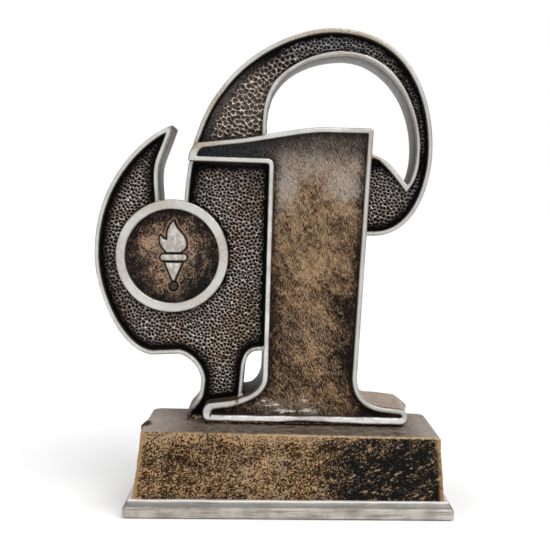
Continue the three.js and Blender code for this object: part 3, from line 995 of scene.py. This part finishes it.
class Paint(Tree):
    """A procedural material. A colour is a Value or its 0 to 255 display values."""

    def __init__(self, name, **constants):
        self.material = bpy.data.materials.new(name)
        self.material.use_nodes = True
        tree = self.material.node_tree
        super().__init__(tree.nodes, tree.links)
        self.shader = tree.nodes["Principled BSDF"]
        self.place = self.add("ShaderNodeTexCoord", output="Object")
        for label, value in constants.items():
            self.shader.inputs[label.replace("_", " ")].default_value = value

    def coordinates(self, stretch=(1, 1, 1), turn=0):
        """Object coordinates in mm, turned about Y by degrees and then divided by stretch."""
        inputs = {"Vector": self.place, "Rotation": (0, math.radians(turn), 0)}
        turned = self.add("ShaderNodeMapping", inputs)
        scale = [1 / (MM * part) for part in stretch]
        return self.add("ShaderNodeMapping", {"Vector": turned, "Scale": scale})

    def axis(self, letter):
        """A coordinate in mm."""
        return self.add("ShaderNodeSeparateXYZ", {0: self.coordinates()}, letter)

    def attributes(self, *names):
        return [self.add("ShaderNodeAttribute", None, "Fac", attribute_name=name) for name in names]

    def facing(self, direction):
        """How squarely the surface faces a direction, 1 at most."""
        normal = self.add("ShaderNodeNewGeometry", output="Normal")
        return self.vector("DOT_PRODUCT", {0: normal, 1: direction}, "Value")

    def noise(self, scale, detail=4, rough=0.55, stretch=(1, 1, 1), turn=0, warp=0.0, output="Fac"):
        """Cloudy noise around 0.5, with scale as its number of waves per mm."""
        inputs = {"Vector": self.coordinates(stretch, turn), "Scale": scale, "Detail": detail,
                  "Roughness": rough, "Distortion": warp}
        return self.add("ShaderNodeTexNoise", inputs, output)

    def ragged(self, scale, reach):
        """Object coordinates strayed by up to reach mm, so that a spot's outline becomes ragged."""
        stray = self.noise(scale, 4, 0.65, output="Color")
        stray = self.vector("SUBTRACT", {0: stray, 1: (0.5, 0.5, 0.5)})
        stray = self.vector("SCALE", {0: stray, "Scale": reach * 4 * MM})
        return self.vector("ADD", {0: self.place, 1: stray})

    def spot(self, x, z, reach_x, reach_z, place=None):
        """1 in the middle of an ellipse seen from the front, falling smoothly to 0 at its edge."""
        scale = (1 / (MM * reach_x), 0, 1 / (MM * reach_z))
        location = (-x / reach_x, 0, -z / reach_z)
        inputs = {"Vector": place or self.place, "Scale": scale, "Location": location}
        from_middle = self.add("ShaderNodeMapping", inputs)
        return self.vector("LENGTH", {0: from_middle}, "Value").between(0.2, 1, 1, 0)

    def lowered(self, value, spots, place=None):
        """value less each spot by its depth."""
        for *spot, depth in spots:
            value = value - self.spot(*spot, place) * depth
        return value

    def touched(self, colour, spots, second, place):
        """colour with each spot of a second colour in it, by its share."""
        for *spot, share in spots:
            colour = self.mix(self.spot(*spot, place) * share, colour, second)
        return colour

    def mix(self, share, *colours):
        """The first colour where share is 0, the second where it is 1."""
        first, second = (c if isinstance(c, Value) else srgb(*c) for c in colours)
        return self.add("ShaderNodeMix", {0: share, 6: first, 7: second}, 2, data_type="RGBA")

    def finish(self, colour, rough, metal=0.0, bumps=()):
        """The material, with its results connected; bumps are pairs of a height and a depth in mm."""
        results = {"Base Color": colour, "Roughness": rough, "Metallic": metal}
        for height, depth in bumps:
            inputs = {"Height": height, "Distance": depth * MM, "Strength": 1.0}
            if "Normal" in results:
                inputs["Normal"] = results["Normal"]
            results["Normal"] = self.add("ShaderNodeBump", inputs)
        for label, value in results.items():
            self.feed(self.shader.inputs[label], value)
        return self.material


def pewter_paint():
    """Satin silver paint on the rims: painted highlights on the crest and in listed places, painted shade
    towards the right, a dark wash with painted shade at its foot, taupe in places.
    """
    p = Paint("pewter_rim", Specular_IOR_Level=0.5)
    edge, foot_wash_and_shade = p.attributes("edge", "foot_wash_and_shade")
    cloud = p.noise(0.16, 3)
    grain = p.noise(1.4, 5, 0.65)
    lines = p.noise(2.6, 4, 0.6, stretch=(3, 3, 1))
    stray = p.ragged(0.3, 1.5)
    colour = p.mix(cloud.between(0.35, 0.65), (170, 167, 160), (200, 198, 193))
    # Darker towards the right: painted shade
    colour = p.mix(p.axis("X").between(10, 20, 0, 0.4), colour, (150, 144, 136))
    # Painted highlights in listed places on the rims
    colour = p.touched(colour, RIM_HIGHLIGHTS, (248, 248, 247), stray)
    colour = p.mix(grain.between(0.5, 0.72, 0, 0.4), colour, (128, 121, 112))
    # Lighter along the crest, away from the rim's edges: painted highlight
    colour = p.mix(edge.between(0.35, 0.6, 0, 0.5), colour, (214, 213, 210))
    places = p.spot(24, 99, 5, 8)
    for *spot, share in TAUPE_PLACES:
        places = places.maximum(p.spot(*spot, stray) * share)
    colour = p.mix(places * grain.between(0.35, 0.6, 0.3, 0.95), colour, (158, 140, 118))
    dirt = p.mix(grain.between(0.4, 0.6), (22, 18, 16), (120, 88, 66))
    colour = p.touched(colour, DIRTY_PLACES, dirt, stray)
    # Dark wash and painted shade at the rim's foot
    colour = p.mix(foot_wash_and_shade * 0.9, colour, (72, 60, 51))
    rough = grain.between(0.3, 0.7, 0.26, 0.46)
    metal = cloud.between(0.3, 0.7, 0.6, 0.78)
    return p.finish(colour, rough, metal, [(grain, 0.08), (lines, 0.02), (p.noise(0.5, 2), 0.16)])


def wall_colour(p):
    """Colour of the castings' side walls: darker and brown behind the rim, grey towards the back."""
    depth = p.axis("Y")
    stray = p.ragged(0.6, 1.2)
    cloud = p.noise(0.25, 4, 0.6)
    streak = p.noise(0.9, 4, 0.6, stretch=(1, 8, 1))
    sanding = p.noise(1.2, 5, 0.7, stretch=(9, 1, 1), turn=8)
    near = p.mix(cloud.between(0.3, 0.7), (84, 77, 71), (106, 100, 94))
    far = p.mix(cloud.between(0.3, 0.7), (126, 122, 118), (148, 145, 141))
    colour = p.mix(depth.between(FIELD + 1, FIGURE_BACK - 1), near, far)
    colour = p.mix(streak.between(0.5, 0.75, 0, 0.4), colour, (80, 71, 64))
    back = depth.between(FIGURE_BACK - 0.4, FIGURE_BACK - 0.1)
    plain = p.mix(sanding.between(0.35, 0.65), (118, 114, 109), (140, 136, 131))
    colour = p.mix(back, colour, plain)
    colour = p.mix(depth.between(FIELD + 1.2, FIELD + 3.6, 0.85, 0), colour, (66, 52, 42))
    dirt = p.mix(streak.between(0.42, 0.55), (24, 20, 18), (126, 96, 74))
    colour = p.mix(p.spot(-32.6, 103.5, 3.4, 5, stray) * (1 - back), colour, dirt)
    copper = p.mix(cloud.between(0.42, 0.58), (104, 80, 66), (160, 132, 114))
    colour = p.mix(p.spot(-28, 26, 7, 8, stray) * back.between(0, 1, 1, 0), colour, copper)
    foot = p.axis("Z").between(30, 38, 0.9, 0) * p.axis("X").between(17, 20)
    taupe = p.mix(p.noise(0.8, 5, 0.75).between(0.38, 0.62), (150, 128, 112), (184, 166, 152))
    return p.mix(foot, colour, taupe)


def swirl_paint():
    """Black wash in the pits, brown slopes, copper and grey dry-brushed on the ridges with a painted
    highlight where they face the light, painted shadow under the flag, grey walls.
    """
    p = Paint("pebbled_bronze", Specular_IOR_Level=0.06)
    ridge, border, outer, front = p.attributes("ridge", "border", "outer", "front")
    high = p.axis("Z")
    patch = p.noise(0.09, 3, 0.5)
    fleck = p.noise(1.6, 4, 0.7)
    crown = p.spot(-12, 107, 22, 18)
    thin = p.spot(38, 98, 19, 36).maximum(p.spot(14, 128, 34, 14))
    inland = outer.between(0.4, 5.5, 0.25, 1).maximum(thin * 0.9)
    # Painted shadow on the field under the numeral's flag
    flag_shadow = high.between(90, 94.5) * high.between(96.2, 97, 1, 0) * p.axis("X").between(-27, -25)
    reach = border.between(0.1, 2.4, 0.12, 1) * inland * high.between(25, 35, 0.4, 1) - flag_shadow
    reach = reach + crown * outer.between(1.4, 4.0, -0.3, 0.5)
    # The brush is stronger where the ridges face up, forward and a little right, towards the light: painted
    # highlight on top of the dry-brushing
    lit = p.facing((0.25, -0.52, 0.82)).between(0.3, 0.85, 0.1, 1)
    brush = ridge.between(0.64, 0.92) * fleck.between(0.36, 0.56, 0.1, 1) * lit * reach.between(0, 1)
    warm = p.mix(patch.between(0.4, 0.6), (236, 228, 220), (224, 200, 176))
    warm = p.mix(thin * 0.8, warm, (190, 188, 188))
    warm = p.mix(crown, warm, (234, 214, 196))
    slope = ridge.between(0.3, 0.85) * reach.between(0, 1, 0.1, 1)
    brown = p.mix(fleck.between(0.35, 0.65), (26, 19, 15), (82, 68, 58))
    brown = p.mix(thin * 0.7, brown, (66, 66, 70))
    slate = p.mix(fleck.between(0.4, 0.6), (40, 37, 36), (98, 92, 90))
    pit = p.mix(crown * outer.between(0.1, 0.9), (7, 7, 8), slate)
    field = p.mix(brush, p.mix(slope, pit, brown), warm)
    colour = p.mix(front, wall_colour(p), field)
    metal = (brush * 0.5).maximum((1 - front) * 0.3)
    return p.finish(colour, fleck.between(0.3, 0.7, 0.34, 0.55), metal, [(fleck, 0.08)])


def panel_paint():
    """The numeral's panel: golden brown worked in streaks, with a painted grey sheen towards the top, black
    patches, and painted shadow in the corners beside the toes and under the top rim.
    """
    p = Paint("panel_bronze", Specular_IOR_Level=0.06)
    border, front, smear = p.attributes("border", "front", "smear")
    high = p.axis("Z")
    stray = p.ragged(0.22, 4)
    patch = p.noise(0.24, 5, 0.66, stretch=(1, 1, 1.5), turn=25)
    clump = p.noise(0.6, 5, 0.7, stretch=(1, 1, 1.8), turn=30)
    down = p.noise(3.0, 3, 0.7, stretch=(1, 1, 2.8))
    slant = p.noise(2.5, 3, 0.7, stretch=(0.8, 1, 4), turn=32)
    speckle = p.noise(3.4, 3, 0.8)
    streaks_and_glints = p.noise(1.0, 4, 0.7, stretch=(4, 1, 0.7)).between(0.53, 0.6)
    fine = down.between(0.4, 0.6, 0, 0.4) + slant.between(0.4, 0.6, 0, 0.3)
    fine = fine + speckle.between(0.42, 0.58, 0, 0.45) - 0.55
    # The level rises towards the top: painted sheen
    level = patch.between(0.3, 0.7, 0.0, 0.55) + high.between(28, 88, 0.0, 0.55)
    # Dark and light patches, with painted shadow beside the toes
    level = p.lowered(level, PANEL_PATCHES_AND_SHADOWS, stray)
    tone = fine * high.between(35, 75, 1.7, 1.15) + level * 0.6 + clump.between(0.32, 0.68, -0.16, 0.32)
    gold = p.mix(patch.between(0.4, 0.6), (158, 142, 120), (170, 141, 108))
    # The gold turns grey near the top: painted sheen
    gold = p.mix(high.between(86, 97), gold, (152, 142, 130))
    colour = p.mix(tone.between(0.0, 0.62), (20, 16, 13), (104, 80, 58))
    colour = p.mix(tone.between(0.45, 1.2), colour, gold)
    sheen = p.spot(-1, 88, 4.2, 10, stray).maximum(p.spot(16, 89, 8, 10, stray))
    sheen = sheen.maximum(p.spot(8, 94.5, 19, 8, stray) * 0.5)
    colour = p.mix(sheen * fine.between(-0.45, 0.35, 0.2, 0.95), colour, (164, 154, 145))
    spread = p.noise(0.9, 5, 0.7).between(0.3, 0.7, -0.9, 0.9)
    colour = p.mix((border + spread).between(-0.2, 2.0, 0.9, 0), colour, (22, 18, 17))
    shade = high.between(93, 98.5, 0, 0.9) * fine.between(-0.35, 0.35, 1, 0.6)
    colour = p.mix(shade, colour, (40, 38, 38))
    slate = p.mix(down.between(0.4, 0.6), (20, 21, 23), (60, 61, 64))
    colour = p.mix(p.axis("X").between(-12, 2, 1, 0) * high.between(88, 93), colour, slate)
    # The smears: a thin film with whitish streaks, partly painted glints
    film_and_glints = p.mix(streaks_and_glints, (116, 107, 96), (226, 224, 220))
    colour = p.mix(smear * streaks_and_glints.between(0, 1, 0.5, 0.85), colour, film_and_glints)
    colour = p.mix(front, wall_colour(p), colour)
    rough = down.between(0.3, 0.7, 0.34, 0.55) - smear * 0.2
    return p.finish(colour, rough, tone * 0.35, [(fine, 0.05)])


def block_paint():
    """The block: gold-brown speckle over brown and black, worn edges, a painted highlight along the upper
    edge, a plain brown top.
    """
    p = Paint("block_bronze", Specular_IOR_Level=0.06)
    share, corner, flash = p.attributes("share", "corner", "flash")
    across, depth, high = (p.axis(letter) for letter in "XYZ")
    stray = p.ragged(0.2, 4)
    speckle = p.noise(2.5, 3, 0.8)
    grit = p.noise(1.9, 3, 0.7, stretch=(1.6, 1, 1), turn=20)
    clump = p.noise(0.55, 5, 0.7, stretch=(1.5, 1, 1), turn=15)
    patch = p.noise(0.24, 5, 0.62, stretch=(1.3, 1, 1))
    scratch = p.noise(1.6, 4, 0.65, stretch=(4.5, 1, 0.9), turn=22)
    cloud = p.noise(0.5, 6, 0.75)
    dark_side = p.add("ShaderNodeSeparateXYZ", {0: stray}, "X").between(4 * MM, 19 * MM)
    level = patch.between(0.3, 0.7, 0.1, 0.9) - dark_side * 1.15 + high.between(17.5, 21, 0, 0.7)
    level = p.lowered(level, BLOCK_SHADES, stray)
    fine = speckle.between(0.42, 0.58, 0, 0.6) + grit.between(0.42, 0.58, 0, 0.4)
    tone = fine * 1.55 + level * 0.5 - clump.between(0.34, 0.66, 0.9, 0.42)
    marks = scratch.between(0.53, 0.64) * speckle.between(0.4, 0.6, 0.3, 1)
    marks = marks * clump.between(0.46, 0.56, 0.03, 1)
    tone = tone.between(0.1, 1.15).maximum(marks.between(0, 0.7) * dark_side)
    gold = p.mix(p.noise(0.16, 3).between(0.35, 0.65), (168, 145, 114), (182, 147, 106))
    dark = p.mix(dark_side, (34, 21, 12), (14, 13, 13))
    brown = p.mix(dark_side, (112, 84, 58), (92, 77, 62))
    colour = p.mix(tone.between(0.0, 0.45), dark, brown)
    colour = p.mix(tone.between(0.25, 1.05), colour, gold)
    worn = corner * p.noise(0.7, 4).between(0.3, 0.55, 0.25, 0.8)
    colour = p.mix(worn, colour, (172, 136, 98))
    # A painted highlight along the upper front edge, stronger towards the right
    edge = share.between(0.955, 0.98) * across.between(-30, 20, 0.1, 0.8)
    colour = p.mix(edge * grit.between(0.35, 0.55, 0.4, 1), colour, (196, 168, 132))
    top = p.mix(cloud.between(0.34, 0.66), (62, 50, 42), (130, 115, 102))
    line = depth.between(-12.6, -12.0) * depth.between(-11.6, -11.0, 1, 0)
    top = p.mix(line * across.between(-20, 0, 0, 0.6), top, (54, 44, 36))
    shine = across.between(-39, -22, 0.9, 0).maximum(across.between(29, 38, 0, 0.75))
    top = p.mix(shine * cloud.between(0.3, 0.6, 0.7, 1), top, (174, 162, 152))
    colour = p.mix(share.between(0.992, 0.999), colour, top)
    colour = p.mix(flash.between(0.2, 0.5), colour, (34, 27, 22))
    rough = speckle.between(0.3, 0.7, 0.36, 0.55)
    return p.finish(colour, rough, tone * 0.35, [(fine, 0.06), (p.noise(5, 3), 0.02)])


def plinth_paint():
    """The plinth: grey with lengthwise lines, darker on its slope and bright on its upper lip."""
    p = Paint("plinth_grey", Specular_IOR_Level=0.4)
    share, = p.attributes("share")
    cloud = p.noise(0.2, 4)
    lines = p.noise(1.8, 5, 0.7, stretch=(14, 14, 1))
    colour = p.mix(cloud.between(0.35, 0.65), (160, 153, 143), (192, 186, 178))
    colour = p.mix(lines.between(0.46, 0.68, 0, 0.75), colour, (108, 103, 88))
    slope = share.between(0.6, 0.64) * share.between(0.84, 0.9, 0.75, 0)
    colour = p.mix(slope, colour, (96, 96, 94))
    colour = p.mix(share.between(0.92, 0.97, 0, 0.85), colour, (232, 231, 228))
    rough = lines.between(0.3, 0.7, 0.34, 0.5)
    metal = cloud.between(0.3, 0.7, 0.45, 0.65)
    return p.finish(colour, rough, metal, [(lines, 0.07), (p.noise(3, 4), 0.03)])


def badge_paint():
    """The medallion: copper-brown mottle over black, darker towards the edge as painted shade under the
    ring, with a black groove.
    """
    p = Paint("badge_bronze", Specular_IOR_Level=0.1)
    border, groove, lip = p.attributes("border", "groove", "lip")
    patch = p.noise(0.42, 6, 0.8, warp=0.6)
    speckle = p.noise(2.3, 3, 0.8)
    # Darker towards the disc's edge: painted shade under the ring
    level = border.between(0.2, 5, -0.55, 0.0) + patch.between(0.38, 0.62, 0.0, 0.85)
    level = p.lowered(level, BADGE_SHADES)
    tone = level * 0.8 + speckle.between(0.42, 0.58, -0.32, 0.36)
    worn = tone.between(0.35, 1.0).maximum(lip * speckle.between(0.38, 0.58, 0.25, 0.8))
    warm = p.mix(p.noise(0.2, 3).between(0.4, 0.6), (160, 136, 116), (184, 146, 112))
    colour = p.mix(tone.between(-0.1, 0.5), (18, 15, 14), (86, 70, 58))
    colour = p.mix(worn, colour, warm)
    colour = p.mix(groove * 0.9, colour, (12, 9, 8))
    rough = speckle.between(0.3, 0.7, 0.3, 0.5)
    return p.finish(colour, rough, tone.between(0, 1, 0, 0.4), [(speckle, 0.06), (patch, 0.2)])


def torch_paint(name, light, dark):
    """Brushed metal of the badge's raised pieces, dark along their edges."""
    p = Paint(name, Specular_IOR_Level=0.5)
    edge, = p.attributes("edge")
    grain = p.noise(1.4, 5, 0.7, stretch=(1, 1, 2.5))
    colour = p.mix(grain.between(0.4, 0.62), dark, light)
    colour = p.mix(edge.between(0, 0.35, 0.8, 0), colour, (34, 28, 24))
    rough = grain.between(0.3, 0.7, 0.3, 0.48)
    return p.finish(colour, rough, grain.between(0.3, 0.7, 0.5, 0.7), [(grain, 0.2)])


def joint_paint():
    """The glue line under the figure: dark, partly as painted shadow under the feet, with gold and brown
    crumbs in it.
    """
    p = Paint("joint_glue_and_shadow", Specular_IOR_Level=0.4)
    crumbs = p.noise(1.8, 5, 0.8)
    crowding = p.noise(0.12, 2).between(0.42, 0.6, 0.66, 0.54)
    # The glue's dark colour also stands for the shadow under the feet: painted shade
    glue = p.mix(p.noise(0.8, 3), (16, 12, 10), (70, 48, 36))
    colour = p.mix(p.math("GREATER_THAN", crumbs, crowding), glue, (196, 160, 112))
    return p.finish(colour, crumbs.between(0.3, 0.7, 0.22, 0.45), 0.0, [(crumbs, 0.25)])


def felt_paint():
    p = Paint("felt", Specular_IOR_Level=0.1, Sheen_Weight=0.5, Sheen_Roughness=0.6)
    fibre = p.noise(4, 6, 0.8, stretch=(3, 1, 1))
    colour = p.mix(fibre, (18, 18, 20), (52, 52, 56))
    return p.finish(colour, fibre.between(0.2, 0.8, 0.9, 1.0), 0.0, [(fibre, 0.25)])


def machined_paint(name, light, dark):
    """Bare metal of a hidden fastener, with turning marks."""
    p = Paint(name)
    marks = p.noise(6, 4, 0.6, stretch=(1, 1, 0.1))
    colour = p.mix(p.noise(0.5, 3).between(0.3, 0.7), dark, light)
    return p.finish(colour, marks.between(0.3, 0.7, 0.25, 0.5), 1.0, [(marks, 0.02)])


# ---------------------------------------------------------------- the trophy

def dress(piece, material):
    piece.data.materials.clear()
    piece.data.materials.append(material)


def build_trophy():
    pewter = pewter_paint()
    dress(swirl_casting(), swirl_paint())
    dress(numeral_casting(), panel_paint())
    dress(rim("numeral_border", "numeral_rim", NUMERAL_FRONT, PANEL + 0.3, False), pewter)
    for node in SWIRL_RIMS:
        dress(rim(node.replace("rim", "border"), node, SWIRL_RIM_FRONT, FIELD + 0.3), pewter)
    dress(roundel_bezel(), pewter)
    dress(roundel_medallion(), badge_paint())
    silver = torch_paint("badge_silver", (204, 201, 194), (156, 150, 142))
    for part in ("flame", "collar", "handle"):
        dress(torch_piece(part, "badge_silver", 0.3), silver)
    dark = torch_paint("badge_ball", (74, 60, 48), (40, 33, 28))
    dress(torch_piece("ball", "badge_bronze", 0.15), dark)
    glue = joint_paint()
    for piece in joint_line():
        dress(piece, glue)
    dress(block_casting(), block_paint())
    dress(plinth_moulding(), plinth_paint())
    dress(felt_sole(), felt_paint())
    steel = machined_paint("steel", (176, 178, 182), (140, 142, 146))
    brass = machined_paint("brass", (196, 158, 90), (150, 116, 60))
    metals = {"bolt": steel, "washer": steel, "dowel": steel, "insert": brass}
    for name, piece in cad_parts.items():
        for kind, metal in metals.items():
            if kind in name:
                dress(piece, metal)


# ---------------------------------------------------------------- studio

def floor():
    reach = 6.0  # metres
    corners = [(-reach, -reach, 0), (reach, -reach, 0), (reach, reach, 0), (-reach, reach, 0)]
    mesh = bpy.data.meshes.new("floor")
    mesh.from_pydata(corners, [], [(0, 1, 2, 3)])
    plane = bpy.data.objects.new("floor", mesh)
    bpy.context.scene.collection.objects.link(plane)
    p = Paint("floor_white", Specular_IOR_Level=0.0)
    colour = p.mix(p.noise(0.02, 2), (246, 246, 246), (249, 249, 249))
    dress(plane, p.finish(colour, p.noise(0.05, 2).between(0, 1, 0.9, 1.0)))
    plane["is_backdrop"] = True


def sun(name, strength, angle, azimuth, elevation):
    """A broad soft light from an azimuth (0 is from the front, 90 from the right) and elevation."""
    light = bpy.data.lights.new(name, "SUN")
    light.energy = strength
    light.angle = math.radians(angle)
    lamp = bpy.data.objects.new(name, light)
    turn, rise = math.radians(azimuth), math.radians(elevation)
    towards = Vector((math.sin(turn) * math.cos(rise), -math.cos(turn) * math.cos(rise), math.sin(rise)))
    lamp.rotation_euler = towards.to_track_quat("Z", "Y").to_euler()
    bpy.context.scene.collection.objects.link(lamp)


def room():
    """Soft light from all round, stronger from above and in front; the camera sees plain white."""
    world = bpy.data.worlds.new("studio")
    world.use_nodes = True
    tree = Tree(world.node_tree.nodes, world.node_tree.links)
    direction = tree.add("ShaderNodeTexCoord", output="Generated")
    lean = tree.vector("DOT_PRODUCT", {0: direction, 1: ROOM_LEAN}, "Value")
    low, high = ROOM_LIGHT
    light = tree.add("ShaderNodeMapRange", {"Value": lean, "From Min": -1, "To Min": low, "To Max": high})
    seen = tree.add("ShaderNodeLightPath", output="Is Camera Ray")
    background = world.node_tree.nodes["Background"]
    tree.feed(background.inputs["Color"], (1, 1, 1, 1))
    strength = tree.add("ShaderNodeMix", {"Factor": seen, "A": light, "B": 1.0})
    tree.feed(background.inputs["Strength"], strength)
    bpy.context.scene.world = world


def studio():
    floor()
    room()
    sun("key", 1.5, 50, 48, 52)
    sun("fill", 0.5, 70, -50, 35)
    bpy.context.scene.view_settings.view_transform = "Standard"


def camera():
    yaw, pitch, roll = (math.radians(a) for a in (CAMERA_YAW, CAMERA_PITCH, CAMERA_ROLL))
    forward = Vector((math.sin(yaw) * math.cos(pitch), math.cos(yaw) * math.cos(pitch), -math.sin(pitch)))
    right = Vector((math.cos(yaw), -math.sin(yaw), 0))
    up = right.cross(forward)
    turned_right = right * math.cos(roll) + up * math.sin(roll)
    turned_up = up * math.cos(roll) - right * math.sin(roll)
    data = bpy.data.cameras.new("camera")
    data.sensor_width = SENSOR
    data.lens = SENSOR * FOCAL_SHARE
    data.clip_start = 0.01
    view = bpy.data.objects.new("camera", data)
    turn = Matrix((turned_right, turned_up, -forward)).transposed().to_4x4()
    view.matrix_world = Matrix.Translation(Vector(CAMERA_PLACE) * MM) @ turn
    bpy.context.scene.collection.objects.link(view)
    bpy.context.scene.camera = view


camera()
studio()
build_trophy()

bpy.context.view_layer.update()
sizes = {"cad": CAD_BOUNDS, "visual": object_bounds()}
{name: [list(corner) for corner in box] for name, box in sizes.items()}
